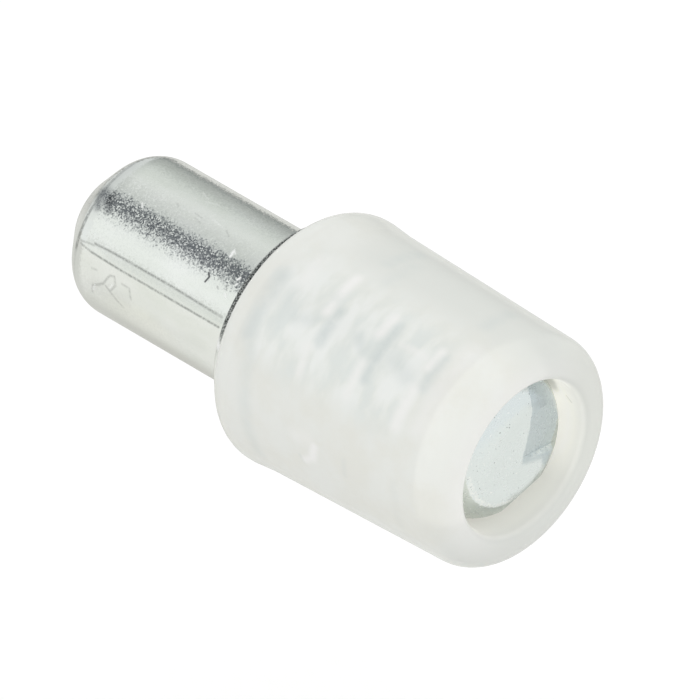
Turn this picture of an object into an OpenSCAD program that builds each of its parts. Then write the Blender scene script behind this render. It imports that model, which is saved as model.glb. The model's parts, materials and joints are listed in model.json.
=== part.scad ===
// Shelf support pin: a turned steel pin whose ribbed end carries a moulded plastic sleeve.
// The pin lies along X. The origin is on its axis, in the collar's front face, which
// stops the shank at the cabinet side. The shank points along -X, and the sleeve that
// the shelf rests on reaches along +X. Sizes are in millimetres.

/* [Shank] */
// Diameter of the shank, which goes into the hole in the cabinet side
shank_d = 5; // [4:0.1:6]
// Length of the shank, from its tip to the collar
shank_len = 7.5; // [5:0.1:14]
// Length of the taper on the tip
tip_len = 1; // [0.6:0.05:2]
// Diameter of the flat on the tip
tip_flat_d = 2.7; // [1.5:0.1:3]
// Radius between the tip's taper and the shank
tip_blend_r = 1; // [0.1:0.05:1.5]
// Radius between the tip's taper and its flat
tip_flat_r = 0.15; // [0.05:0.05:0.4]

/* [Collar] */
// Diameter of the collar
collar_d = 6.6; // [6.2:0.1:9]
// Thickness of the collar
collar_t = 0.8; // [0.4:0.05:1.2]
// Radius on the edge of the collar's front face
collar_edge_r = 0.1; // [0.05:0.01:0.15]

/* [Ribbed end] */
// Diameter over the ribs, which fill the sleeve's bore
rib_d = 4.9; // [4:0.1:6]
// How far the domed end stops short of the sleeve's end
end_recess = 0.3; // [0:0.05:1]
// Distance from one groove to the next
groove_pitch = 2; // [1.2:0.05:3]
// Width of a groove at its mouth
groove_w = 0.5; // [0.2:0.05:1]
// Width of a groove at its floor
groove_floor_w = 0.3; // [0.1:0.05:0.9]
// Depth of a groove
groove_depth = 0.3; // [0.1:0.05:0.6]
// Radius on the edge of the domed end
dome_r = 1.4; // [0.3:0.05:1.9]

/* [Sleeve] */
// Length of the sleeve
sleeve_len = 9.1; // [6:0.05:14]
// How far the collar stands out of the sleeve's mouth
collar_stand = 0.2; // [0.05:0.01:0.3]
// Wall around the collar
rim_wall = 0.6; // [0.4:0.05:1.2]
// Radius on the rim's front edge
rim_r = 0.9; // [0.2:0.05:1.2]
// Length of the rim, up to where it falls to the body
rim_len = 1; // [0.9:0.05:1.6]
// Length over which the rim falls to the body
rim_fall = 0.7; // [0.1:0.05:1]
// Wall over the ribs, beside the rim
body_wall = 1.425; // [1:0.025:1.6]
// Wall over the ribs that the body tapers to at its free end
end_wall = 1.175; // [0.9:0.025:1.5]
// Radius on the outer edge of the free end
end_r = 0.85; // [0.2:0.05:1]
// Radius on the lip of the bore at the free end
lip_r = 0.28; // [0.05:0.01:0.4]

/* [Fits] */
// Gap around the collar in the sleeve's mouth, on the radius
collar_gap = 0.05; // [0:0.01:0.1]
// Gap around the ribs in the sleeve's bore, on the radius: 0 grips them
rib_gap = 0; // [0:0.01:0.05]

/* [Hidden] */
$fn = 96;

shank_r = shank_d / 2;
collar_r = collar_d / 2;
rib_r = rib_d / 2;
bore_r = rib_r + rib_gap;
mouth_r = collar_r + collar_gap;

sleeve_end = collar_stand + sleeve_len;
pin_end = sleeve_end - end_recess;

// The grooves start behind the collar, and fill the ribs as far as the dome.
groove_count = floor((pin_end - collar_t - dome_r - groove_w) / groove_pitch) + 1;
cut = 0.1;

// The wall at the free end limits the two rounds that share it.
end_round = min(end_r, 0.74 * end_wall);
lip_round = min(lip_r, 0.25 * end_wall);
rim_round = min(rim_r, rim_len);

// The point at distance d from a towards b.
function toward(a, b, d) = a + d * (b - a) / norm(b - a);

// The angle at b between the ways to a and to c.
function corner_angle(a, b, c) =
    acos((a - b) * (c - b) / (norm(a - b) * norm(c - b)));

// The part of the corner at b, between a and c, that a round of radius r takes off.
module corner_waste(a, b, c, r) {
    half = corner_angle(a, b, c) / 2;
    start = toward(b, a, r / tan(half));
    end = toward(b, c, r / tan(half));
    difference() {
        polygon([start, b, end]);
        translate(toward(b, (start + end) / 2, r / sin(half)))
            circle(r = r);
    }
}

// The outline through the points, with the corner at each point rounded by its radius.
// A radius of 0 leaves the corner sharp.
module rounded_outline(points, radii) {
    count = len(points);
    difference() {
        polygon(points);
        for (i = [0 : count - 1])
            if (radii[i] > 0)
                corner_waste(points[(i + count - 1) % count], points[i],
                             points[(i + 1) % count], radii[i]);
    }
}

// Turns a half section about the X axis. The section's X is the radius, and its Y lies along X.
module turned() {
    rotate([0, 90, 0])
        rotate_extrude()
            children();
}

module shank_section() {
    rounded_outline(
        [[0, -shank_len], [tip_flat_d / 2, -shank_len], [shank_r, tip_len - shank_len],
         [shank_r, 0], [0, 0]],
        [0, tip_flat_r, tip_blend_r, 0, 0]);
}

module collar_section() {
    rounded_outline(
        [[0, 0], [collar_r, 0], [collar_r, collar_t], [0, collar_t]],
        [0, collar_edge_r, 0, 0]);
}

// A groove's section, centred on the ribs' edge, with its mouth reaching past them by cut.
module groove_section() {
    floor_r = rib_r - groove_depth;
    polygon([[floor_r, -groove_floor_w / 2], [rib_r, -groove_w / 2],
             [rib_r + cut, -groove_w / 2], [rib_r + cut, groove_w / 2],
             [rib_r, groove_w / 2], [floor_r, groove_floor_w / 2]]);
}

module ribbed_section() {
    difference() {
        rounded_outline(
            [[0, collar_t], [rib_r, collar_t], [rib_r, pin_end], [0, pin_end]],
            [0, 0, dome_r, 0]);
        for (i = [0 : groove_count - 1])
            translate([0, collar_t + groove_w / 2 + i * groove_pitch])
                groove_section();
    }
}

module steel_pin() {
    color("#c3c8c9")
        turned()
            union() {
                shank_section();
                collar_section();
                ribbed_section();
            }
}

module sleeve_section() {
    rim_end = collar_stand + rim_len;
    difference() {
        rounded_outline(
            [[bore_r, collar_stand], [mouth_r + rim_wall, collar_stand],
             [mouth_r + rim_wall, rim_end], [bore_r + body_wall, rim_end + rim_fall],
             [bore_r + end_wall, sleeve_end], [bore_r, sleeve_end]],
            [0, rim_round, 0, 0, end_round, lip_round]);
        square([mouth_r, collar_t]);
    }
}

module plastic_sleeve() {
    color("#e6e8e2")
        turned()
            sleeve_section();
}

steel_pin();
plastic_sleeve();
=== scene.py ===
"""Looks of a shelf support pin: a zinc-plated steel pin whose ribbed end wears a frosted plastic sleeve.

Both pieces are turned about the X axis. The origin is on that axis, in the collar's front face.
The shank reaches along -X and the sleeve along +X. Lengths are in metres.
"""

import json
from math import atan2, cos, pi, radians, sin, sqrt, tan

import bpy
from bpy.props import FloatProperty, FloatVectorProperty, PointerProperty
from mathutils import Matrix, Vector


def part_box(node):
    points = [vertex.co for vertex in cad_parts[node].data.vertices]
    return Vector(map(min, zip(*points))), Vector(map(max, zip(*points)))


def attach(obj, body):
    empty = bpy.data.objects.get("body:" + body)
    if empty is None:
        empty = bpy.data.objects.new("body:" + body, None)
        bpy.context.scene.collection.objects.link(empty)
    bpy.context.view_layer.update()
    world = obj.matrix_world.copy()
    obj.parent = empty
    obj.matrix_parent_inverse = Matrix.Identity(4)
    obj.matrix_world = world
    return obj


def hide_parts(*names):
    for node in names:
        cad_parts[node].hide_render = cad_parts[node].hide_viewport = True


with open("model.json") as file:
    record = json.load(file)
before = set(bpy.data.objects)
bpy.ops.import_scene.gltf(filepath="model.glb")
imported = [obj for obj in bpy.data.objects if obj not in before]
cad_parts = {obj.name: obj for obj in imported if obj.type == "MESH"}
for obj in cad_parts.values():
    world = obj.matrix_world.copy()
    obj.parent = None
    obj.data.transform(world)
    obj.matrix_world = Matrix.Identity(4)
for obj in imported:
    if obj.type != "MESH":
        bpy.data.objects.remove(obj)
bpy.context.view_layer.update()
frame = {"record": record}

bl_info = {
    "name": "Shelf support pin",
    "version": (1, 0, 0),
    "blender": (4, 5, 0),
    "location": "3D View > Sidebar > Shelf Pin",
    "description": "Models and finishes a plated shelf support pin with a frosted sleeve",
    "category": "Object",
}

MM = 0.001
MICRON = 0.000001
PIN_LOW, PIN_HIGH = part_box("steel_pin")
SLEEVE_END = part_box("plastic_sleeve")[1].x
MOUNTS = {mount["name"]: mount for mount in frame["record"]["mounts"]}
SHANK_R = MOUNTS["shank"]["dims"]["r_mm"] * MM
# the radius about halfway along the sleeve, at which its marks are laid out
SLEEVE_R = 3.75 * MM
DOME_R = 1.4 * MM
DOME_X = PIN_HIGH.x - DOME_R
# places round a turned piece, and steps round each rounded corner of its outline
SIDES = 160
PIN_STEPS = 10
SLEEVE_STEPS = 12
SMOOTH_ANGLE = radians(10)


def length(name, description, default):
    """A size that shows in metres."""
    return FloatProperty(
        name=name, description=description, default=default, min=0.0, unit="LENGTH", precision=6
    )


def degrees(name, description, default):
    """An angle in degrees."""
    return FloatProperty(name=name, description=description, default=default)


def colour(name, description, default):
    """A colour, written as linear red, green and blue."""
    return FloatVectorProperty(
        name=name, description=description, default=default, min=0.0, max=1.0, size=3, subtype="COLOR"
    )


class PinSizes(bpy.types.PropertyGroup):
    """Sizes of the steel pin."""

    shank_r: length("Shank radius", "Radius of the shank", SHANK_R)
    shank_len: length("Shank length", "From the tip to the collar", -PIN_LOW.x)
    tip_len: length("Tip length", "Length of the taper on the tip", 1.0 * MM)
    tip_flat_r: length("Tip flat radius", "Radius of the flat on the tip", 1.35 * MM)
    tip_blend: length("Tip blend", "Radius between the taper and the shank", 1.0 * MM)
    tip_edge: length("Tip edge", "Radius between the taper and the flat", 0.15 * MM)
    collar_r: length("Collar radius", "Radius of the collar", PIN_HIGH.y)
    collar_t: length("Collar thickness", "Thickness of the collar", 0.8 * MM)
    collar_edge: length("Collar edge", "Radius on the edges of the collar", 0.1 * MM)
    rib_r: length("Rib radius", "Radius over the ribs", 2.45 * MM)
    groove_pitch: length("Groove pitch", "From one groove to the next", 2.0 * MM)
    groove_w: length("Groove width", "Width of a groove at its mouth", 0.5 * MM)
    groove_floor: length("Groove floor", "Width of a groove at its floor", 0.3 * MM)
    groove_depth: length("Groove depth", "Depth of a groove", 0.3 * MM)
    groove_edge: length("Groove edge", "Radius on the edges of a groove", 0.05 * MM)
    dome_r: length("Dome radius", "Radius on the edge of the domed end", DOME_R)
    facet_start: length("Facet start", "From the axis to the edge of the cropped facet", 0.20 * MM)
    facet_side: FloatProperty(
        name="Facet side", description="From the axis to the side of the facet", default=-0.07 * MM,
        unit="LENGTH", precision=6,
    )
    facet_tilt: degrees("Facet tilt", "Slope of the cropped facet", 11.2)
    facet_turn: degrees("Facet turn", "Where the facet falls to, round the axis", -16.0)
    flat_depth: length("Flat depth", "How much the small flat takes off the domed edge", 0.11 * MM)
    flat_tilt: degrees("Flat tilt", "Slope of the small flat", 38.0)
    flat_turn: degrees("Flat turn", "Where the small flat lies, round the axis", 284.0)


class SleeveSizes(bpy.types.PropertyGroup):
    """Sizes of the plastic sleeve."""

    mouth: length("Mouth", "How far the collar stands out of the mouth", 0.2 * MM)
    rim_wall: length("Rim wall", "Wall around the collar", 0.6 * MM)
    rim_round: length("Rim round", "Radius on the rim's front edge", 0.9 * MM)
    rim_len: length("Rim length", "Length of the rim", 1.0 * MM)
    rim_fall: length("Rim fall", "Length over which the rim falls to the body", 0.7 * MM)
    body_wall: length("Body wall", "Wall over the ribs, beside the rim", 1.425 * MM)
    end_wall: length("End wall", "Wall over the ribs at the free end", 1.175 * MM)
    end_round: length("End round", "Radius on the outer edge of the free end", 0.85 * MM)
    lip_round: length("Lip round", "Radius on the lip of the bore", 0.28 * MM)
    fall_round: length("Fall round", "Radius where the rim falls to the body", 0.5 * MM)
    collar_gap: length("Collar gap", "Gap around the collar", 0.05 * MM)
    rib_gap: length("Rib gap", "Hairline between the ribs and the bore", 0.01 * MM)


class Finishes(bpy.types.PropertyGroup):
    """Colours of the two finishes."""

    zinc: colour("Zinc", "Colour of the bright zinc plating", (0.88, 0.895, 0.88))
    end_face: colour("End face", "Colour of the pin's domed end", (0.835, 0.885, 0.89))
    speckle: FloatProperty(
        name="Speckle", description="How far the zinc's crystals tip the light", default=0.1
    )
    # painted shade: the facet's colour stands in for the dark bore reflected in it
    facet: colour("Facet", "Colour of the cropped facet", (0.60, 0.665, 0.69))
    # painted light: the glow that the bore's wall emits
    glow: colour("Glow", "Daylight that comes through the wall beside the pin's end", (0.52, 0.495, 0.47))
    plastic: colour("Plastic", "Colour of the frosted plastic", (0.92, 0.935, 0.897))
    clearness: FloatProperty(
        name="Clearness", description="How much of the ribs the plastic shows", default=0.15
    )


class StageSizes(bpy.types.PropertyGroup):
    """Places of the floor."""

    floor_drop: length("Floor drop", "From the pin's axis down to the floor", 15.0 * MM)
    floor_size: length("Floor size", "Width of the floor", 0.24)


# Modelling


def deselect():
    """Leaves no object selected."""
    bpy.ops.object.select_all(action="DESELECT")


def rounded(start, corners, finish, steps):
    """The outline from start to finish through corners of (x, r, radius), each with its arc."""
    points = [start] + [Vector(corner[:2]) for corner in corners] + [finish]
    outline = [start]
    for i, (x, r, radius) in enumerate(corners):
        corner = points[i + 1]
        if radius == 0:
            outline.append(corner)
            continue
        back = (points[i] - corner).normalized()
        ahead = (points[i + 2] - corner).normalized()
        half = back.angle(ahead) / 2
        centre = corner + (back + ahead).normalized() * radius / sin(half)
        first = corner + back * radius / tan(half) - centre
        last = corner + ahead * radius / tan(half) - centre
        turn = pi - 2 * half
        for step in range(steps + 1):
            share = turn * step / steps
            outline.append(centre + (first * sin(turn - share) + last * sin(share)) / sin(turn))
    outline.append(finish)
    return outline


def start_ring(name, place, filled):
    """Adds the first ring of a turned piece, square to the X axis, and opens it for editing."""
    deselect()
    bpy.ops.mesh.primitive_circle_add(
        vertices=SIDES,
        radius=place.y,
        fill_type="NGON" if filled else "NOTHING",
        location=(place.x, 0, 0),
        rotation=(0, pi / 2, 0),
    )
    piece = bpy.context.object
    piece.name = piece.data.name = name
    bpy.ops.object.transform_apply(location=True, rotation=True, scale=True)
    bpy.ops.object.mode_set(mode="EDIT")
    bpy.ops.mesh.select_all(action="SELECT")
    return piece


def draw_out(outline):
    """Extrudes the selected ring from place to place along the outline."""
    for here, there in zip(outline, outline[1:]):
        bpy.ops.mesh.extrude_region_move(
            TRANSFORM_OT_translate={"value": (there.x - here.x, 0, 0)}
        )
        scale = there.y / here.y
        bpy.ops.transform.resize(value=(1, scale, scale), center_override=(there.x, 0, 0))


def close_piece(piece, material_names):
    """Ends the edit with merged doubles and outward faces, and adds the materials."""
    bpy.ops.mesh.select_all(action="SELECT")
    bpy.ops.mesh.remove_doubles(threshold=0.1 * MICRON)
    bpy.ops.mesh.normals_make_consistent(inside=False)
    bpy.ops.object.mode_set(mode="OBJECT")
    for name in material_names:
        piece.data.materials.append(bpy.data.materials[name])


def crop_end(pin, size):
    """Cuts the shallow facet that cropping the wire left on the domed end."""
    deselect()
    bpy.ops.mesh.primitive_cube_add(size=1, location=(0.5, 0.5, 0.5))
    wedge = bpy.context.object
    bpy.ops.object.transform_apply(location=True, rotation=True, scale=True)
    wedge.scale = (size.dome_r, 2 * size.rib_r, 2 * size.rib_r)
    bpy.ops.object.transform_apply(location=False, rotation=False, scale=True)
    # the side leans back, so the facet has a sloping edge and no step
    for corner in wedge.data.vertices:
        corner.select = corner.co.x > 0.5 * size.dome_r and corner.co.z < 0.5 * size.rib_r
    for part in (*wedge.data.edges, *wedge.data.polygons):
        part.select = False
    bpy.ops.object.mode_set(mode="EDIT")
    bpy.ops.mesh.select_mode(type="VERT")
    lean = 0.8 * size.dome_r
    bpy.ops.transform.translate(value=(0, 0, -lean))
    bpy.ops.object.mode_set(mode="OBJECT")
    wedge.rotation_euler = (0, 0, radians(size.facet_tilt))
    bpy.ops.object.transform_apply(location=False, rotation=True, scale=False)
    wedge.location = (PIN_HIGH.x, size.facet_start, size.facet_side)
    bpy.ops.object.transform_apply(location=True, rotation=False, scale=False)
    wedge.rotation_euler = (radians(size.facet_turn), 0, 0)
    bpy.ops.object.transform_apply(location=False, rotation=True, scale=False)
    cut_away(pin, wedge)


def shave_edge(pin, size):
    """Cuts the small flat beside the facet, on the edge of the domed end."""
    deselect()
    bpy.ops.mesh.primitive_cube_add(size=1, location=(0.5, 0, 0))
    block = bpy.context.object
    bpy.ops.object.transform_apply(location=True, rotation=True, scale=True)
    block.scale = (size.dome_r, 2 * size.rib_r, 2 * size.rib_r)
    bpy.ops.object.transform_apply(location=False, rotation=False, scale=True)
    tilt = radians(size.flat_tilt)
    dome = Vector((PIN_HIGH.x - size.dome_r, size.rib_r - size.dome_r))
    block.location.x = dome.x * cos(tilt) + dome.y * sin(tilt) + size.dome_r - size.flat_depth
    block.location.y = dome.y * cos(tilt) - dome.x * sin(tilt)
    bpy.ops.object.transform_apply(location=True, rotation=False, scale=False)
    block.rotation_euler.z = tilt
    bpy.ops.object.transform_apply(location=False, rotation=True, scale=False)
    block.rotation_euler.x = radians(size.flat_turn)
    bpy.ops.object.transform_apply(location=False, rotation=True, scale=False)
    cut_away(pin, block)


def cut_away(pin, block):
    """Takes the block out of the pin."""
    bpy.context.view_layer.objects.active = pin
    cut = pin.modifiers.new("cut", "BOOLEAN")
    cut.operation = "DIFFERENCE"
    cut.solver = "EXACT"
    cut.object = block
    bpy.ops.object.modifier_apply(modifier=cut.name)
    bpy.data.objects.remove(block)


def give_to_frame(piece, node):
    """Smooths the piece and lets it stand for its CAD node."""
    deselect()
    piece.select_set(True)
    bpy.context.view_layer.objects.active = piece
    bpy.ops.object.shade_smooth_by_angle(angle=SMOOTH_ANGLE)
    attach(piece, "root")
    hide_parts(node)


# Materials


def add_node(tree, kind, inputs=(), **settings):
    """Adds a shader node. A socket among its inputs is linked, and anything else is its value."""
    node = tree.nodes.new("ShaderNode" + kind)
    for name, value in settings.items():
        setattr(node, name, value)
    for name, value in dict(inputs).items():
        socket = find_socket(node.inputs, name)
        if isinstance(value, bpy.types.NodeSocket):
            tree.links.new(value, socket)
        else:
            socket.default_value = value
    return node


def find_socket(sockets, name):
    """A socket by its place, its identifier or its name."""
    if isinstance(name, int):
        return sockets[name]
    return next((socket for socket in sockets if socket.identifier == name), None) or sockets[name]


def calculate(tree, operation, *values):
    """The result of a maths node."""
    return add_node(tree, "Math", dict(enumerate(values)), operation=operation).outputs[0]


def spread(tree, value, low, high, to_low=0.0, to_high=1.0, kind="SMOOTHSTEP"):
    """The value mapped from one range to another."""
    sockets = {"Value": value, "From Min": low, "From Max": high, "To Min": to_low, "To Max": to_high}
    return add_node(tree, "MapRange", sockets, interpolation_type=kind).outputs["Result"]


def product(tree, first, *others):
    """The values multiplied together."""
    for value in others:
        first = calculate(tree, "MULTIPLY", first, value)
    return first


def window(tree, value, rise, fall):
    """1 where the value lies between two soft edges, each written as (from, to), and 0 outside."""
    return product(tree, spread(tree, value, *rise), spread(tree, value, *fall, 1.0, 0.0))


def sector(tree, turn, rise, fall):
    """1 over part of the way round the axis, with the soft edges in degrees."""
    return window(tree, turn, map(radians, rise), map(radians, fall))


def facing(tree, turn, angle):
    """1 on the side that lies at this angle, in degrees round the axis, and -1 across from it."""
    return calculate(tree, "COSINE", calculate(tree, "SUBTRACT", turn, radians(angle)))


def noise(tree, vector, scale, detail, roughness):
    """The height of a noise, from 0 to 1."""
    sockets = {"Vector": vector, "Scale": scale, "Detail": detail, "Roughness": roughness}
    return add_node(tree, "TexNoise", sockets).outputs["Fac"]


def mix_colours(tree, share, first, second):
    """One colour laid over another."""
    sides = [side if isinstance(side, bpy.types.NodeSocket) else (*side, 1) for side in (first, second)]
    sockets = {"Factor_Float": share, "A_Color": sides[0], "B_Color": sides[1]}
    return find_socket(add_node(tree, "Mix", sockets, data_type="RGBA").outputs, "Result_Color")


def shaded(tone, shade):
    """A colour taken down part by part."""
    return tuple(part * share for part, share in zip(tone, shade))


def new_group(name, inputs, outputs):
    """A group of nodes with these number or vector inputs and outputs."""
    tree = bpy.data.node_groups.new(name, "ShaderNodeTree")
    for socket, kind, value in inputs:
        made = tree.interface.new_socket(socket, in_out="INPUT", socket_type="NodeSocket" + kind)
        if value is not None:
            made.default_value = value
    for socket, kind in outputs:
        tree.interface.new_socket(socket, in_out="OUTPUT", socket_type="NodeSocket" + kind)
    return tree, tree.nodes.new("NodeGroupInput").outputs, tree.nodes.new("NodeGroupOutput").inputs


def place_group(tree, name, inputs=()):
    """Puts a group into a material and gives its outputs."""
    node = tree.nodes.new("ShaderNodeGroup")
    node.node_tree = bpy.data.node_groups[name]
    for socket, value in dict(inputs).items():
        if isinstance(value, bpy.types.NodeSocket):
            tree.links.new(value, node.inputs[socket])
        else:
            node.inputs[socket].default_value = value
    return node.outputs


def unrolled_group():
    """A turned surface laid flat: millimetres along the axis and round it, at a given radius."""
    tree, given, out = new_group(
        "unrolled", [("Position", "Vector", None), ("Radius", "Float", 2.5)],
        [("Along", "Float"), ("Around", "Float"), ("From Axis", "Float")])
    part = add_node(tree, "SeparateXYZ", {"Vector": given["Position"]}).outputs
    along = product(tree, part["X"], 1 / MM)
    # half a turn is taken off and put back, so the angle runs from 0 to 360 and its seam lies at +Y
    far = [product(tree, part[axis], -1.0) for axis in "ZY"]
    turn = calculate(tree, "ADD", calculate(tree, "ARCTAN2", *far), pi)
    around = product(tree, turn, given["Radius"])
    square = calculate(tree, "ADD", product(tree, part["Y"], part["Y"]), product(tree, part["Z"], part["Z"]))
    from_axis = product(tree, calculate(tree, "SQRT", square), 1 / MM)
    tree.links.new(along, out["Along"])
    tree.links.new(around, out["Around"])
    tree.links.new(from_axis, out["From Axis"])


def stroke_group():
    """One straight stroke with round ends: 1 along its middle and 0 beside it, in millimetres."""
    tree, given, out = new_group(
        "stroke",
        [("Along", "Float", 0.0), ("Around", "Float", 0.0), ("Centre Along", "Float", 0.0),
         ("Centre Around", "Float", 0.0), ("Tilt", "Float", 0.0), ("Length", "Float", 1.0),
         ("Half Width", "Float", 0.03)],
        [("Mask", "Float")])
    da = calculate(tree, "SUBTRACT", given["Along"], given["Centre Along"])
    dr = calculate(tree, "SUBTRACT", given["Around"], given["Centre Around"])
    cosine = calculate(tree, "COSINE", given["Tilt"])
    sine = calculate(tree, "SINE", given["Tilt"])
    run = calculate(tree, "ADD", product(tree, da, cosine), product(tree, dr, sine))
    off = calculate(tree, "SUBTRACT", product(tree, dr, cosine), product(tree, da, sine))
    half = product(tree, given["Length"], 0.5)
    past = calculate(tree, "SUBTRACT", calculate(tree, "ABSOLUTE", run), half)
    past = calculate(tree, "MAXIMUM", past, 0.0)
    square = calculate(tree, "ADD", product(tree, off, off), product(tree, past, past))
    mask = spread(tree, calculate(tree, "SQRT", square), 0.0, given["Half Width"], 1.0, 0.0)
    tree.links.new(mask, out["Mask"])


def spangle_group():
    """A normal tipped a little, by chance, on each crystal of the plating."""
    tree, given, out = new_group(
        "spangle",
        [("Position", "Vector", None), ("Normal", "Vector", None), ("Scale", "Float", 22000.0),
         ("Tip", "Float", 0.1)],
        [("Normal", "Vector")])
    cells = add_node(tree, "TexVoronoi", {"Vector": given["Position"], "Scale": given["Scale"]})
    aside = add_node(tree, "VectorMath", {0: cells.outputs["Color"], 1: (0.5, 0.5, 0.5)},
                     operation="SUBTRACT").outputs["Vector"]
    tipped = add_node(tree, "VectorMath", {0: aside, "Scale": given["Tip"]},
                      operation="SCALE").outputs["Vector"]
    total = add_node(tree, "VectorMath", {0: given["Normal"], 1: tipped},
                     operation="ADD").outputs["Vector"]
    straight = add_node(tree, "VectorMath", {0: total}, operation="NORMALIZE").outputs["Vector"]
    tree.links.new(straight, out["Normal"])


def draw_strokes(tree, flat, radius, strokes):
    """The strokes of (along, angle, along, angle, half width, strength), end to end, as one mask."""
    marks = 0.0
    for along, angle, to_along, to_angle, half_width, strength in strokes:
        first = Vector((along, radians(angle) * radius))
        last = Vector((to_along, radians(to_angle) * radius))
        middle, way = (first + last) / 2, last - first
        sockets = {"Along": flat["Along"], "Around": flat["Around"], "Centre Along": middle.x,
                   "Centre Around": middle.y, "Tilt": atan2(way.y, way.x), "Length": way.length,
                   "Half Width": half_width}
        mask = product(tree, place_group(tree, "stroke", sockets)["Mask"], strength)
        marks = calculate(tree, "MAXIMUM", marks, mask)
    return marks


def new_material(name):
    """A material's tree, its shader and the place on the object."""
    material = bpy.data.materials.new(name)
    material.use_nodes = True
    tree = material.node_tree
    return tree, tree.nodes["Principled BSDF"], add_node(tree, "TexCoord").outputs["Object"]


# Where the taper on the tip begins, in millimetres along.
TAPER_X = -6.45

# Tones of the marks, and of the painted light and shade, on the zinc, on the domed end and on the plastic.
TONES = {
    "stain": (0.89, 0.895, 0.83),
    "underside": (0.63, 0.63, 0.59),
    "grey band": (0.45, 0.47, 0.45),
    "dark line": (0.28, 0.29, 0.28),
    "hook": (0.06, 0.06, 0.07),
    "ring": (0.25, 0.26, 0.25),
    "taper_side_shade": (0.42, 0.44, 0.44),
    "painted_tip_reflection": (0.12, 0.13, 0.145),
    "collar_painted_shade": (0.05, 0.055, 0.053),
    "nick and glint": (0.97, 0.98, 0.97),
    "flat_painted_shade": (0.58, 0.62, 0.60),
    "ragged": (0.97, 0.98, 0.97),
    "fallen side": (0.69, 0.73, 0.69),
    "fallen low": (0.56, 0.60, 0.57),
    "tip": (0.58, 0.62, 0.59),
    "pit": (0.25, 0.27, 0.27),
    "spark": (0.98, 0.99, 0.98),
    "far side": (0.86, 0.875, 0.828),
    "upper side": (0.845, 0.865, 0.825),
    "haze": (0.885, 0.935, 0.905),
    "cool patch": (0.77, 0.83, 0.82),
    "pale patch": (0.98, 1.0, 0.98),
    "groove shade": (0.69, 0.75, 0.74),
    "low side": (0.82, 0.835, 0.80),
    "groove light": (1.0, 1.0, 0.98),
    "wall mark": (0.35, 0.37, 0.33),
}

# Dark lines along the shank and short scratches across its underside: from and to, each in millimetres along
# and degrees round, half width, strength.
SHANK_DARK_LINES = (
    (-6.32, 156.6, -5.76, 154.6, 0.060, 0.5),
    (-5.76, 153.4, -5.00, 152.6, 0.070, 0.85),
    (-5.00, 152.6, -2.70, 152.3, 0.070, 0.9),
    (-2.70, 152.3, -0.66, 153.2, 0.070, 0.9),
    (-6.28, 158.4, -5.80, 159.9, 0.060, 0.7),
    (-5.80, 159.9, -4.60, 160.7, 0.065, 0.9),
    (-4.60, 160.7, -0.66, 160.6, 0.065, 0.9),
    (-5.66, 189.5, -5.60, 183.5, 0.080, 0.45),
    (-5.60, 183.5, -5.18, 177.0, 0.080, 0.5),
    (-5.18, 177.0, -4.96, 168.3, 0.075, 0.5),
    (-4.96, 168.3, -4.78, 167.3, 0.070, 0.45),
    (-4.78, 167.3, -4.70, 173.0, 0.075, 0.45),
    (-4.70, 173.0, -4.92, 180.2, 0.075, 0.5),
    (-4.92, 180.2, -5.08, 177.8, 0.070, 0.45),
    (-4.90, 180.6, -4.42, 187.4, 0.075, 0.4),
    (-4.46, 169.2, -4.16, 169.6, 0.070, 0.4),
    (-4.16, 169.6, -4.07, 176.6, 0.070, 0.45),
    (-5.66, 170.4, -5.48, 169.8, 0.070, 0.35),
    (-4.14, 101.2, -4.03, 103.2, 0.060, 0.25),
    (-3.44, 100.8, -3.16, 101.4, 0.055, 0.25),
    (-3.30, 104.0, -3.05, 105.4, 0.055, 0.2),
    (-2.20, 100.4, -2.00, 103.2, 0.055, 0.28),
    (-0.96, 134.0, -0.88, 136.2, 0.050, 0.7),
    (-1.22, 137.0, -1.16, 138.2, 0.050, 0.6),
)
# Faint grey between the two long dark lines and low down.
SHANK_GREY_BANDS = (
    (-5.20, 156.6, -0.69, 157.0, 0.22, 0.12),
    (-5.50, 181.0, -4.30, 180.0, 0.45, 0.14),
    (-3.20, 184.0, -1.20, 182.0, 0.35, 0.08),
)
DARK_HOOK = (
    (-1.72, 132.0, -1.63, 134.2, 0.055, 1.0),
    (-1.63, 134.2, -1.68, 138.2, 0.055, 1.0),
)
# Painted dark reflection of the coarse band, carried on over the taper's corner.
TIP_PAINTED_REFLECTION = (
    (-6.42, 121.5, -6.15, 122.5, 0.42, 1.0),
    (-6.15, 122.5, -5.85, 129.0, 0.24, 0.7),
    (-6.38, 125.0, -6.24, 131.0, 0.24, 0.8),
)
# Nicks, and painted glints beside the scratches, drawn white.
NICKS_AND_GLINTS = (
    (-1.48, 111.0, -1.44, 115.4, 0.085, 0.9),
    (-1.50, 109.6, -1.38, 112.0, 0.050, 0.6),
    (-0.75, 126.5, -0.71, 124.5, 0.065, 1.0),
    (-0.70, 130.0, -0.66, 128.8, 0.055, 0.9),
    (-0.86, 138.6, -0.80, 140.4, 0.055, 0.8),
    (-5.05, 114.0, -4.96, 116.4, 0.055, 0.7),
    (-5.62, 187.4, -5.52, 182.0, 0.060, 0.5),
    (-4.90, 177.4, -4.82, 174.0, 0.060, 0.5),
    (-3.95, 81.6, -3.60, 84.6, 0.060, 0.22),
    (-3.58, 87.8, -3.22, 84.2, 0.060, 0.18),
    (-2.80, 98.0, -2.42, 99.6, 0.060, 0.2),
    (0.00, 159.6, 0.10, 163.0, 0.140, 0.9),
)
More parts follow.
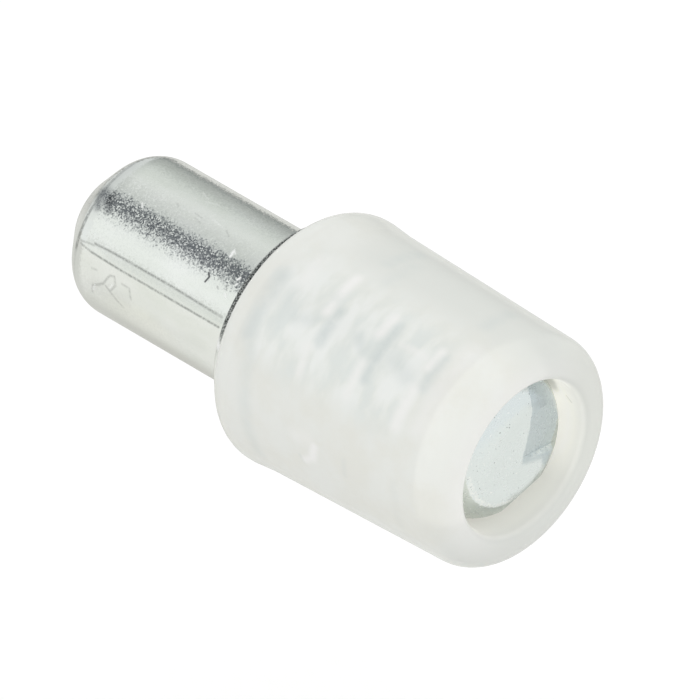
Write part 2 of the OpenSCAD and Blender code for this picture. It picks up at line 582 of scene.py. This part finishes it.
# The same on the sleeve: painted light and shade where the grooves show through.
SLEEVE_LIGHTS = (
    (3.34, 121.0, 3.30, 102.0, 0.32, 1.0),
    (3.42, 138.6, 3.52, 149.9, 0.30, 0.6),
    (5.21, 118.5, 5.24, 109.0, 0.32, 0.9),
    (5.27, 133.5, 5.29, 148.1, 0.32, 0.75),
    (7.17, 120.0, 7.20, 111.0, 0.30, 0.8),
    (7.20, 132.7, 7.18, 150.0, 0.38, 0.8),
    (1.95, 103.0, 2.10, 116.0, 0.40, 0.45),
    (6.05, 117.0, 6.95, 116.5, 0.22, 0.5),
    (7.90, 104.0, 7.95, 146.0, 0.60, 0.5),
)
BLEMISH = (
    (3.85, 178.5, 4.30, 177.5, 0.45, 0.4),
    (4.54, 179.5, 4.46, 186.0, 0.28, 1.0),
    (4.46, 186.0, 4.18, 189.5, 0.24, 0.9),
)
# Painted shade of the grooves, of the collar behind the mouth, and where the rim falls to the body.
SLEEVE_SHADES = (
    (3.68, 134.0, 3.66, 119.0, 0.36, 0.65),
    (5.58, 138.0, 5.54, 112.0, 0.36, 0.70),
    (4.72, 124.5, 5.04, 127.4, 0.36, 0.40),
    (7.42, 129.0, 7.46, 113.0, 0.34, 0.50),
    (1.40, 118.0, 1.44, 132.6, 0.46, 0.50),
    (1.44, 132.6, 1.46, 146.0, 0.46, 0.50),
    (1.46, 146.0, 1.78, 155.8, 0.36, 0.30),
    (1.72, 156.8, 1.86, 175.0, 0.42, 0.26),
    (1.86, 175.0, 2.10, 204.1, 0.42, 0.28),
    (3.52, 66.0, 3.50, 84.0, 0.42, 0.32),
    (4.02, 78.0, 4.15, 94.0, 0.45, 0.18),
    (7.34, 68.0, 7.45, 86.0, 0.42, 0.26),
    (5.95, 124.0, 6.80, 129.0, 0.50, 0.30),
    (2.00, 121.0, 2.05, 138.0, 0.42, 0.18),
    (2.60, 131.0, 3.10, 128.0, 0.36, 0.30),
    (3.98, 188.5, 4.08, 191.2, 0.12, 0.35),
    (5.68, 178.0, 5.70, 185.5, 0.18, 0.20),
    (7.62, 176.0, 7.64, 200.0, 0.28, 0.12),
)
WALL_MARKS = ((8.58, 16.0, 8.74, 11.5, 0.06, 0.5),)


def grain(tree, place, scale, height, normal=None):
    """Bumps of a noise, some microns high, laid over another normal."""
    sockets = {"Height": noise(tree, place, scale, 2.0, 0.6), "Strength": 1.0, "Distance": height * MICRON}
    if normal is not None:
        sockets["Normal"] = normal
    return add_node(tree, "Bump", sockets).outputs["Normal"]


def bright_zinc(finishes):
    """Zinc plating with a fine grain, faint clouds, dark lines and scratches, and painted shade, painted
    reflections and painted glints.
    """
    tree, shader, place = new_material("bright_zinc")
    radius = SHANK_R / MM
    flat = place_group(tree, "unrolled", {"Position": place, "Radius": radius})
    along = flat["Along"]
    turn = calculate(tree, "DIVIDE", flat["Around"], radius)
    mottle = spread(tree, noise(tree, place, 26000, 1.0, 0.5), 0.40, 0.66, 1.0, 0.45)
    dotted = spread(tree, noise(tree, place, 15000, 1.0, 0.5), 0.34, 0.56, 0.5, 1.0)
    dark_lines = product(tree, draw_strokes(tree, flat, radius, SHANK_DARK_LINES), dotted)
    nicks_and_glints = draw_strokes(tree, flat, radius, NICKS_AND_GLINTS)
    # clouds and streaks lie along the pin
    streaked = add_node(tree, "VectorMath", {0: place, 1: (0.35, 1.0, 1.0)},
                        operation="MULTIPLY").outputs["Vector"]
    clouds = spread(tree, noise(tree, streaked, 1300, 3.0, 0.6), 0.3, 0.7)
    base = mix_colours(tree, clouds, shaded(finishes.zinc, (0.94, 0.95, 0.93)), finishes.zinc)
    # low down the plating is stained faintly yellow, and underneath it is darker with painted shade
    stain = product(tree, spread(tree, noise(tree, streaked, 500, 2.0, 0.5), 0.42, 0.62),
                    spread(tree, turn, radians(168), radians(182)), 0.5)
    base = mix_colours(tree, stain, base, TONES["stain"])
    under = product(tree, sector(tree, turn, (193, 218), (240, 300)),
                    spread(tree, along, -6.2, -3.5, 0.55, 1.0))
    base = mix_colours(tree, under, base, TONES["underside"])
    base = mix_colours(tree, draw_strokes(tree, flat, radius, SHANK_GREY_BANDS), base, TONES["grey band"])
    base = mix_colours(tree, product(tree, dark_lines, 0.85), base, TONES["dark line"])
    base = mix_colours(tree, draw_strokes(tree, flat, radius, DARK_HOOK), base, TONES["hook"])
    # painted shade: the taper is darker on its upper side, and a fine dark ring marks where it begins,
    # itself partly painted shade that fades round the axis
    taper = product(tree, spread(tree, along, TAPER_X - 0.06, TAPER_X, 0.35, 0.0),
                    spread(tree, turn, radians(128), radians(150), 1.0, 0.0))
    ring = calculate(tree, "ABSOLUTE", calculate(tree, "SUBTRACT", along, TAPER_X))
    ring = product(tree, spread(tree, ring, 0.03, 0.11, 0.75, 0.0), dotted,
                   spread(tree, turn, radians(162), radians(168), 1.0, 0.25))
    base = mix_colours(tree, calculate(tree, "MAXIMUM", taper, ring), base, TONES["ring"])
    # painted shade lies beside the taper on the upper side, and the coarse band's dark reflection is painted
    # on over the taper's corner
    taper_side_shade = product(tree, window(tree, along, (TAPER_X - 0.04, TAPER_X), (TAPER_X, -5.75)), 0.5,
                   spread(tree, turn, radians(126), radians(142), 1.0, 0.0))
    base = mix_colours(tree, taper_side_shade, base, TONES["taper_side_shade"])
    painted_tip_reflection = product(tree, draw_strokes(tree, flat, radius, TIP_PAINTED_REFLECTION), mottle)
    base = mix_colours(tree, painted_tip_reflection, base, TONES["painted_tip_reflection"])
    # painted shade darkens the collar's edge beside the sleeve's mouth over part of the way round
    on_collar = spread(tree, flat["From Axis"], radius + 0.25, radius + 0.4)
    collar_painted_shade = product(tree, on_collar, spread(tree, along, 0.4, 0.5, 1.0, 0.0), mottle,
                   spread(tree, turn, radians(40), radians(100), 0.55, 1.0),
                   spread(tree, turn, radians(150), radians(172), 1.0, 0.0))
    base = mix_colours(tree, collar_painted_shade, base, TONES["collar_painted_shade"])
    # nicks and painted glints are white and not metal
    base = mix_colours(tree, nicks_and_glints, base, TONES["nick and glint"])
    tree.links.new(base, shader.inputs["Base Color"])
    tree.links.new(calculate(tree, "SUBTRACT", 1.0, nicks_and_glints), shader.inputs["Metallic"])
    rough = calculate(tree, "MAXIMUM", calculate(tree, "MAXIMUM", dark_lines, nicks_and_glints),
                      product(tree, on_collar, 0.6))
    tree.links.new(spread(tree, rough, 0.0, 1.0, 0.1, 0.4), shader.inputs["Roughness"])
    bumps = grain(tree, place, 3200, 4.0)
    bumps = grain(tree, place, 9000, 3.0, bumps)
    # one band along the shank is coarser and sparkles more
    coarse = sector(tree, turn, (115, 120), (131, 146))
    tip = spread(tree, coarse, 0.0, 1.0, finishes.speckle, 1.5 * finishes.speckle)
    spangled = place_group(tree, "spangle", {"Position": place, "Normal": bumps, "Tip": tip,
                                             "Scale": 25000.0})
    tree.links.new(spangled["Normal"], shader.inputs["Normal"])


def cropped_end(finishes, size):
    """The pin's domed end, duller than the shank and pitted, with painted shade on the cropped facet and
    round its edge, and painted highlights and glints.
    """
    tree, shader, place = new_material("cropped_end")
    shader.inputs["Metallic"].default_value = 1
    radius = size.rib_r / MM
    flat = place_group(tree, "unrolled", {"Position": place, "Radius": radius})
    turn = calculate(tree, "DIVIDE", flat["Around"], radius)
    clouds = noise(tree, place, 1500, 3.0, 0.6)
    fine = noise(tree, place, 11000, 2.0, 0.6)
    base = mix_colours(tree, clouds, shaded(finishes.end_face, (0.93, 0.93, 0.93)), finishes.end_face)
    # how far a place lies past the facet's edge, which wanders a little, and up from its side
    part = add_node(tree, "SeparateXYZ", {"Vector": place}).outputs
    cosine, sine = cos(radians(size.facet_turn)), sin(radians(size.facet_turn))
    past = calculate(tree, "ADD", product(tree, part["Y"], cosine), product(tree, part["Z"], sine))
    past = calculate(tree, "ADD", past, product(tree, calculate(tree, "SUBTRACT", clouds, 0.5), 0.4 * MM))
    beside = calculate(tree, "SUBTRACT", product(tree, part["Z"], cosine), product(tree, part["Y"], sine))
    edge, side = size.facet_start, size.facet_side
    # painted shade: the facet's colour is darker, standing in for the dark bore reflected in it, and far out
    # it reaches lower
    lower = calculate(tree, "MAXIMUM", calculate(tree, "SUBTRACT", past, 1.0 * MM), 0.0)
    lower = calculate(tree, "ADD", beside, product(tree, lower, 0.8))
    cropped = product(tree, spread(tree, past, edge - 0.05 * MM, edge + 0.03 * MM),
                      spread(tree, lower, side - 0.34 * MM, side - 0.12 * MM))
    base = mix_colours(tree, cropped, base, finishes.facet)
    # along the facet's side the painted shade is left off in broken patches, which paints a light streak
    # there
    sliver = window(tree, beside, (side - 0.15 * MM, side - 0.07 * MM), (side - 0.02 * MM, side + 0.01 * MM))
    sliver = product(tree, sliver, spread(tree, past, edge + 0.2 * MM, edge + 0.6 * MM),
                     spread(tree, fine, 0.35, 0.6, 0.2, 0.7), cropped)
    base = mix_colours(tree, sliver, base, finishes.end_face)
    # painted shade darkens the end next to the small flat
    flat_painted_shade = product(tree, spread(tree, flat["From Axis"], 1.15, 1.45),
                   sector(tree, turn, (248, 264), (300, 318)))
    base = mix_colours(tree, flat_painted_shade, base, TONES["flat_painted_shade"])
    # the face isn't quite round: how far out a place lies, less the face's swell, and ragged
    cosine, sine = calculate(tree, "COSINE", turn), calculate(tree, "SINE", turn)
    swell = calculate(tree, "SUBTRACT", product(tree, sine, 0.36), product(tree, cosine, 0.02))
    swell = calculate(tree, "ADD", swell, product(tree, sine, cosine, 0.2))
    reach = calculate(tree, "SUBTRACT", flat["From Axis"], swell)
    reach = calculate(tree, "ADD", reach, product(tree, calculate(tree, "SUBTRACT", fine, 0.5), 0.12))
    # painted highlight: its edge is bright low down; painted shade: the rim past it is dark
    ragged = product(tree, spread(tree, reach, 1.69, 1.77), sector(tree, turn, (170, 190), (250, 280)),
                     spread(tree, fine, 0.35, 0.6, 0.1, 0.8))
    base = mix_colours(tree, ragged, base, TONES["ragged"])
    fallen = mix_colours(tree, spread(tree, turn, radians(195), radians(232)),
                         TONES["fallen side"], TONES["fallen low"])
    base = mix_colours(tree, spread(tree, reach, 1.84, 1.90), base, fallen)
    # painted shadow of the bore's lip across the top of the end
    tip = product(tree, spread(tree, flat["From Axis"], 2.12, 2.27), sector(tree, turn, (36, 50), (80, 94)))
    base = mix_colours(tree, tip, base, TONES["tip"])
    pits = spread(tree, noise(tree, place, 14000, 1.0, 0.5), 0.70, 0.76)
    base = mix_colours(tree, product(tree, pits, 0.7), base, TONES["pit"])
    # painted glints, fewer on the facet
    sparks = product(tree, spread(tree, noise(tree, place, 12000, 1.0, 0.5), 0.26, 0.31, 1.0, 0.0),
                     spread(tree, cropped, 0.0, 1.0, 0.7, 0.2))
    base = mix_colours(tree, sparks, base, TONES["spark"])
    tree.links.new(base, shader.inputs["Base Color"])
    tree.links.new(spread(tree, clouds, 0.3, 0.7, 0.18, 0.32), shader.inputs["Roughness"])
    bumps = grain(tree, place, 2500, 3.0)
    spangled = place_group(tree, "spangle", {"Position": place, "Normal": bumps, "Scale": 14000.0,
                                             "Tip": 0.08})
    tree.links.new(spangled["Normal"], shader.inputs["Normal"])


def milky_plastic(finishes):
    """Frosted plastic that lets the ribs show through softly, with painted light and shade where they show
    and a painted glow in the bore.
    """
    tree, shader, place = new_material("milky_plastic")
    radius = SLEEVE_R / MM
    flat = place_group(tree, "unrolled", {"Position": place, "Radius": radius})
    along, from_axis = flat["Along"], flat["From Axis"]
    turn = calculate(tree, "DIVIDE", flat["Around"], radius)
    clouds = spread(tree, noise(tree, place, 700, 5.0, 0.6), 0.35, 0.65)
    base = mix_colours(tree, clouds, shaded(finishes.plastic, (0.975, 0.965, 0.945)), finishes.plastic)
    wisps = spread(tree, noise(tree, place, 1500, 3.0, 0.6), 0.25, 0.6, 0.45, 1.0)
    # painted shade: the side away from the light is a little darker, and so is the upper side
    base = mix_colours(tree, spread(tree, facing(tree, turn, 340), -0.35, 0.35), base, TONES["far side"])
    upper = product(tree, spread(tree, turn, radians(82), radians(106), 1.0, 0.0),
                    spread(tree, along, 1.6, 3.2),
                    spread(tree, turn, radians(48), radians(68), 0.2, 1.0))
    base = mix_colours(tree, upper, base, TONES["upper side"])
    # painted light and shade: the ribs seen through the plastic are painted as a cool, patchy haze that runs
    # round the sleeve on its upper front
    hazy = product(tree, sector(tree, turn, (90, 114), (146, 164)),
                   window(tree, along, (0.9, 2.0), (6.6, 8.2)))
    laid = add_node(tree, "CombineXYZ", {"X": along, "Y": product(tree, flat["Around"], 0.45)})
    patches = noise(tree, laid.outputs["Vector"], 1.4, 3.0, 0.5)
    cool = product(tree, hazy, spread(tree, patches, 0.36, 0.54, 0.36, 0.0))
    pale = product(tree, hazy, spread(tree, patches, 0.44, 0.64, 0.0, 0.7))
    base = mix_colours(tree, product(tree, hazy, 0.4), base, TONES["haze"])
    base = mix_colours(tree, cool, base, TONES["cool patch"])
    base = mix_colours(tree, pale, base, TONES["pale patch"])
    shade = product(tree, draw_strokes(tree, flat, radius, SLEEVE_SHADES), wisps)
    base = mix_colours(tree, shade, base, TONES["groove shade"])
    # painted shade: the free end is darker where it faces down
    low = product(tree, spread(tree, facing(tree, turn, 262), 0.3, 0.95), spread(tree, along, 8.7, 9.1))
    base = mix_colours(tree, low, base, TONES["low side"])
    # painted light: its face is paler towards the lip, most on one side, and the mouth's edge has a painted
    # highlight
    near_lip = product(tree, spread(tree, from_axis, 2.7, 3.55, 1.0, 0.0),
                       spread(tree, facing(tree, turn, 140), -0.6, 0.9), 0.65)
    mouth = product(tree, spread(tree, along, 0.34, 0.54, 1.0, 0.0), wisps)
    light = product(tree, draw_strokes(tree, flat, radius, SLEEVE_LIGHTS), wisps)
    for mask in (near_lip, mouth, draw_strokes(tree, flat, radius, BLEMISH)):
        light = calculate(tree, "MAXIMUM", light, mask)
    base = mix_colours(tree, light, base, TONES["groove light"])
    in_bore = spread(tree, from_axis, 2.45, 2.57, 1.0, 0.0)
    marks = product(tree, draw_strokes(tree, flat, radius, WALL_MARKS), in_bore)
    base = mix_colours(tree, marks, base, TONES["wall mark"])
    # painted light: a glow emitted from the wall beside the pin's end stands in for daylight coming through
    # it and lifts the shade there, most on the +Y side, but not deep down there
    notch = product(tree, sector(tree, turn, (8, 20), (45, 70)), spread(tree, along, 8.1, 8.45, 1.0, 0.0))
    through = product(tree, spread(tree, along, 8.0, 9.9, 1.0, 0.0, kind="LINEAR"),
                      spread(tree, facing(tree, turn, 0), 0.65, 0.98, 0.6, 1.0),
                      spread(tree, notch, 0.0, 1.0, 1.0, 0.4), in_bore,
                      spread(tree, along, 7.4, 7.7))
    glow = mix_colours(tree, through, (0, 0, 0), finishes.glow)
    tree.links.new(glow, shader.inputs["Emission Color"])
    shader.inputs["Emission Strength"].default_value = 1.0
    tree.links.new(base, shader.inputs["Base Color"])
    shader.inputs["Roughness"].default_value = 0.2
    shader.inputs["IOR"].default_value = 1.3
    shader.inputs["Transmission Weight"].default_value = finishes.clearness
    bumps = grain(tree, place, 900, 12.0)
    bumps = grain(tree, place, 5000, 2.0, bumps)
    tree.links.new(bumps, shader.inputs["Normal"])


def clear_bore():
    """The sleeve's smooth inner wall, where it lies on the ribs and the collar."""
    tree, shader, place = new_material("clear_bore")
    shader.inputs["Base Color"].default_value = (1.0, 1.0, 1.0, 1)
    shader.inputs["Roughness"].default_value = 0.1
    shader.inputs["IOR"].default_value = 1.5
    shader.inputs["Transmission Weight"].default_value = 1.0
    tree.links.new(grain(tree, place, 2500, 4.0), shader.inputs["Normal"])


def seen_by(tree, *kinds):
    """1 for rays of these kinds, and 0 for the rest."""
    path = add_node(tree, "LightPath").outputs
    share = 0.0
    for kind in kinds:
        share = calculate(tree, "MAXIMUM", share, path[kind])
    return share


# How pale the floor looks in gloss: millimetres from under the pin to the back, and the shade.
FLOOR_SHADES = ((-20, 0.91), (2, 0.87), (10, 0.70), (28, 0.71), (65, 0.75), (110, 0.42))


def pale_floor():
    """A pale floor, white to the eye, that darkens towards the back in gloss, with a painted shadow of the
    pin close behind it.
    """
    tree, shader, place = new_material("pale_floor")
    part = add_node(tree, "SeparateXYZ", {"Vector": place}).outputs
    back = product(tree, calculate(tree, "SUBTRACT", part["Y"], part["X"]), 0.71 / MM)
    first, last = FLOOR_SHADES[0][0], FLOOR_SHADES[-1][0]
    share = spread(tree, back, first, last, kind="LINEAR")
    shades = [((at - first) / (last - first), (shade, shade * 1.005, shade * 0.96))
              for at, shade in FLOOR_SHADES]
    # only the side that the shank looks at is dark far out
    lit = product(tree, spread(tree, part["X"], -30 * MM, 0.0), spread(tree, back, 30, 60))
    gloss = mix_colours(tree, lit, blend_stops(tree, share, shades), (0.75, 0.755, 0.73))
    glossy = seen_by(tree, "Is Glossy Ray", "Is Transmission Ray")
    tree.links.new(mix_colours(tree, glossy, (0.85, 0.85, 0.85), gloss), shader.inputs["Base Color"])
    shader.inputs["Roughness"].default_value = 1.0
    shader.inputs["Specular IOR Level"].default_value = 0.0
    shader.inputs["Emission Color"].default_value = (1, 1, 1, 1)
    tree.links.new(product(tree, seen_by(tree, "Is Camera Ray"), 0.2), shader.inputs["Emission Strength"])


# What gloss sees round the pin: degrees up from the +Y side, and the colour there.
SURROUNDINGS = (
    (-180, (0.90, 0.92, 0.88)),
    (-30, (0.88, 0.90, 0.87)),
    (-14, (0.60, 0.62, 0.60)),
    (-9, (0.30, 0.32, 0.31)),
    (-3, (0.31, 0.33, 0.32)),
    (3, (0.41, 0.43, 0.415)),
    (12, (0.47, 0.49, 0.47)),
    (22, (0.54, 0.565, 0.545)),
    (39, (0.70, 0.73, 0.70)),
    (60, (0.775, 0.80, 0.77)),
    (79, (0.69, 0.71, 0.69)),
    (95, (0.62, 0.64, 0.63)),
    (102, (0.20, 0.215, 0.23)),
    (107, (0.12, 0.13, 0.145)),
    (118, (0.15, 0.16, 0.175)),
    (123, (0.30, 0.315, 0.33)),
    (129, (0.68, 0.70, 0.70)),
    (134, (0.90, 0.92, 0.91)),
    (150, (0.98, 1.00, 0.98)),
    (166, (0.93, 0.95, 0.93)),
    (171, (0.77, 0.79, 0.76)),
    (178, (0.86, 0.88, 0.85)),
)


def blend_stops(tree, share, stops):
    """The colour at a share of the way through stops of (share, colour)."""
    ramp = add_node(tree, "ValToRGB", {"Fac": share})
    ramp.color_ramp.interpolation = "LINEAR"
    elements = ramp.color_ramp.elements
    elements.remove(elements[1])
    for i, (at, shade) in enumerate(stops):
        element = elements[0] if i == 0 else elements.new(at)
        element.position = at
        element.color = (*shade, 1)
    return ramp.outputs["Color"]


def soft_surroundings():
    """Even white light, with soft strips of shade that only gloss sees."""
    world = bpy.data.worlds.new("soft_surroundings")
    world.use_nodes = True
    tree = world.node_tree
    looking = add_node(tree, "TexCoord").outputs["Generated"]
    way = add_node(tree, "SeparateXYZ", {"Vector": looking}).outputs
    turn = calculate(tree, "ARCTAN2", way["Z"], way["Y"])
    share = spread(tree, turn, -pi, pi, kind="LINEAR")
    strips = blend_stops(tree, share, [(at / 360 + 0.5, shade) for at, shade in SURROUNDINGS])
    # the strips run along the pin and fade out towards its ends, the low ones sooner
    ends = spread(tree, calculate(tree, "ABSOLUTE", way["X"]), 0.60, 0.72)
    low = product(tree, spread(tree, way["X"], -0.40, -0.15),
                  spread(tree, turn, radians(60), radians(95), 1.0, 0.0))
    ends = calculate(tree, "MAXIMUM", ends, low)
    strips = mix_colours(tree, ends, strips, (0.88, 0.90, 0.89))
    shine = mix_colours(tree, seen_by(tree, "Is Glossy Ray"), (1, 1, 1), strips)
    back = tree.nodes["Background"]
    tree.links.new(shine, back.inputs["Color"])
    back.inputs["Strength"].default_value = 1.0
    return world


# Operators


class SHELFPIN_OT_steel_pin(bpy.types.Operator):
    """Model the steel pin with its tip, collar, grooves and domed end"""

    bl_idname = "shelfpin.steel_pin"
    bl_label = "Steel Pin"

    def execute(self, context):
        size = context.scene.pin_sizes
        end = PIN_HIGH.x
        corners = [(-size.shank_len, size.tip_flat_r, size.tip_edge),
                   (size.tip_len - size.shank_len, size.shank_r, size.tip_blend),
                   (0, size.shank_r, 0),
                   (0, size.collar_r, size.collar_edge),
                   (size.collar_t, size.collar_r, size.collar_edge),
                   (size.collar_t, size.rib_r - size.groove_depth, 0)]
        mouth, bottom = size.groove_w / 2, size.groove_floor / 2
        middle = size.collar_t + mouth
        while middle < end - size.dome_r:
            for x, r in ((-mouth, size.rib_r), (-bottom, size.rib_r - size.groove_depth),
                         (bottom, size.rib_r - size.groove_depth), (mouth, size.rib_r)):
                # the first groove begins at the collar's back face
                if middle + x > size.collar_t + bottom / 2:
                    corners.append((middle + x, r, size.groove_edge))
            middle += size.groove_pitch
        corners.append((end, size.rib_r, size.dome_r))
        flat = (size.rib_r - size.dome_r) / 2
        outline = rounded(Vector((-size.shank_len, flat)), corners, Vector((end, flat)), PIN_STEPS)
        pin = start_ring("plated_pin", outline[0], True)
        draw_out(outline)
        close_piece(pin, ["bright_zinc", "cropped_end"])
        crop_end(pin, size)
        shave_edge(pin, size)
        for face in pin.data.polygons:
            face.material_index = 1 if face.center.x > DOME_X else 0
        give_to_frame(pin, "steel_pin")
        return {"FINISHED"}


class SHELFPIN_OT_plastic_sleeve(bpy.types.Operator):
    """Model the plastic sleeve with its rim, tapered body and open end"""

    bl_idname = "shelfpin.plastic_sleeve"
    bl_label = "Plastic Sleeve"

    def execute(self, context):
        size = context.scene.sleeve_sizes
        pin = context.scene.pin_sizes
        bore_r = pin.rib_r + size.rib_gap
        mouth_r = pin.collar_r + size.collar_gap
        rim_r = mouth_r + size.rim_wall
        rim_end = size.mouth + size.rim_len
        end = SLEEVE_END
        # the rim's round meets the mouth a little way in from the front
        inset = size.rim_round - size.rim_wall
        front = size.mouth + size.rim_round - sqrt(size.rim_round ** 2 - inset ** 2)
        corners = [(size.mouth, rim_r, size.rim_round),
                   (rim_end, rim_r, size.fall_round / 2),
                   (rim_end + size.rim_fall, pin.rib_r + size.body_wall, size.fall_round),
                   (end, pin.rib_r + size.end_wall, size.end_round),
                   (end, bore_r, size.lip_round),
                   (DOME_X, bore_r, 0),
                   (pin.collar_t, bore_r, 0),
                   (pin.collar_t, mouth_r, 0)]
        outline = rounded(Vector((size.mouth, bore_r)), corners, Vector((front, mouth_r)), SLEEVE_STEPS)
        outline = [Vector((front, mouth_r))] + [place for place in outline[1:] if place.x >= front]
        sleeve = start_ring("frosted_sleeve", outline[0], False)
        draw_out(outline)
        close_piece(sleeve, ["milky_plastic", "clear_bore"])
        hair = 0.01 * MM
        for face in sleeve.data.polygons:
            x, r = face.center.x, sqrt(face.center.y ** 2 + face.center.z ** 2)
            on_collar = front + 0.1 * MM < x < pin.collar_t + hair and r < mouth_r + 2 * hair
            on_ribs = pin.collar_t < x < DOME_X and r < bore_r + hair
            face.material_index = 1 if on_collar or on_ribs else 0
        give_to_frame(sleeve, "plastic_sleeve")
        return {"FINISHED"}


class SHELFPIN_OT_materials(bpy.types.Operator):
    """Make the plated steel and the frosted plastic"""

    bl_idname = "shelfpin.materials"
    bl_label = "Materials"

    def execute(self, context):
        unrolled_group()
        stroke_group()
        spangle_group()
        bright_zinc(context.scene.pin_finishes)
        cropped_end(context.scene.pin_finishes, context.scene.pin_sizes)
        milky_plastic(context.scene.pin_finishes)
        clear_bore()
        return {"FINISHED"}


class SHELFPIN_OT_stage(bpy.types.Operator):
    """Set the floor, the soft light and the camera"""

    bl_idname = "shelfpin.stage"
    bl_label = "Stage"

    def execute(self, context):
        stage = context.scene.stage_sizes
        pale_floor()
        deselect()
        bpy.ops.mesh.primitive_plane_add(size=stage.floor_size, location=(0, 0, -stage.floor_drop))
        floor = context.object
        floor.name = "floor"
        floor.data.materials.append(bpy.data.materials["pale_floor"])
        context.scene.world = soft_surroundings()
        camera = bpy.data.objects.new("camera", bpy.data.cameras.new("camera"))
        context.collection.objects.link(camera)
        aim = Vector((1.153, 1.171, -0.927)) * MM
        azimuth, elevation, distance = radians(44.18), radians(36.68), 510.54 * MM
        back = Vector((sin(azimuth) * cos(elevation), -cos(azimuth) * cos(elevation), sin(elevation)))
        camera.location = aim + back * distance
        camera.rotation_euler = back.to_track_quat("Z", "Y").to_euler()
        camera.data.lens = 914.2
        camera.data.sensor_width = 36
        camera.data.clip_start = 0.01
        camera.data.clip_end = 100
        context.scene.camera = camera
        context.scene.view_settings.view_transform = "Standard"
        return {"FINISHED"}


class SHELFPIN_PT_panel(bpy.types.Panel):
    """Lists the pieces and the stage"""

    bl_idname = "SHELFPIN_PT_panel"
    bl_label = "Shelf Support Pin"
    bl_space_type = "VIEW_3D"
    bl_region_type = "UI"
    bl_category = "Shelf Pin"

    def draw(self, context):
        for operator in OPERATORS:
            self.layout.operator(operator.bl_idname)


SETTINGS = {
    "pin_sizes": PinSizes,
    "sleeve_sizes": SleeveSizes,
    "pin_finishes": Finishes,
    "stage_sizes": StageSizes,
}
OPERATORS = (
    SHELFPIN_OT_materials,
    SHELFPIN_OT_steel_pin,
    SHELFPIN_OT_plastic_sleeve,
    SHELFPIN_OT_stage,
)


def register():
    for group in SETTINGS.values():
        bpy.utils.register_class(group)
    for name, group in SETTINGS.items():
        setattr(bpy.types.Scene, name, PointerProperty(type=group))
    for operator in OPERATORS:
        bpy.utils.register_class(operator)
    bpy.utils.register_class(SHELFPIN_PT_panel)


def unregister():
    bpy.utils.unregister_class(SHELFPIN_PT_panel)
    for operator in reversed(OPERATORS):
        bpy.utils.unregister_class(operator)
    for name, group in SETTINGS.items():
        delattr(bpy.types.Scene, name)
        bpy.utils.unregister_class(group)


def main():
    register()
    bpy.ops.shelfpin.materials()
    bpy.ops.shelfpin.steel_pin()
    bpy.ops.shelfpin.plastic_sleeve()
    bpy.ops.shelfpin.stage()


if __name__ == "__main__":
    main()
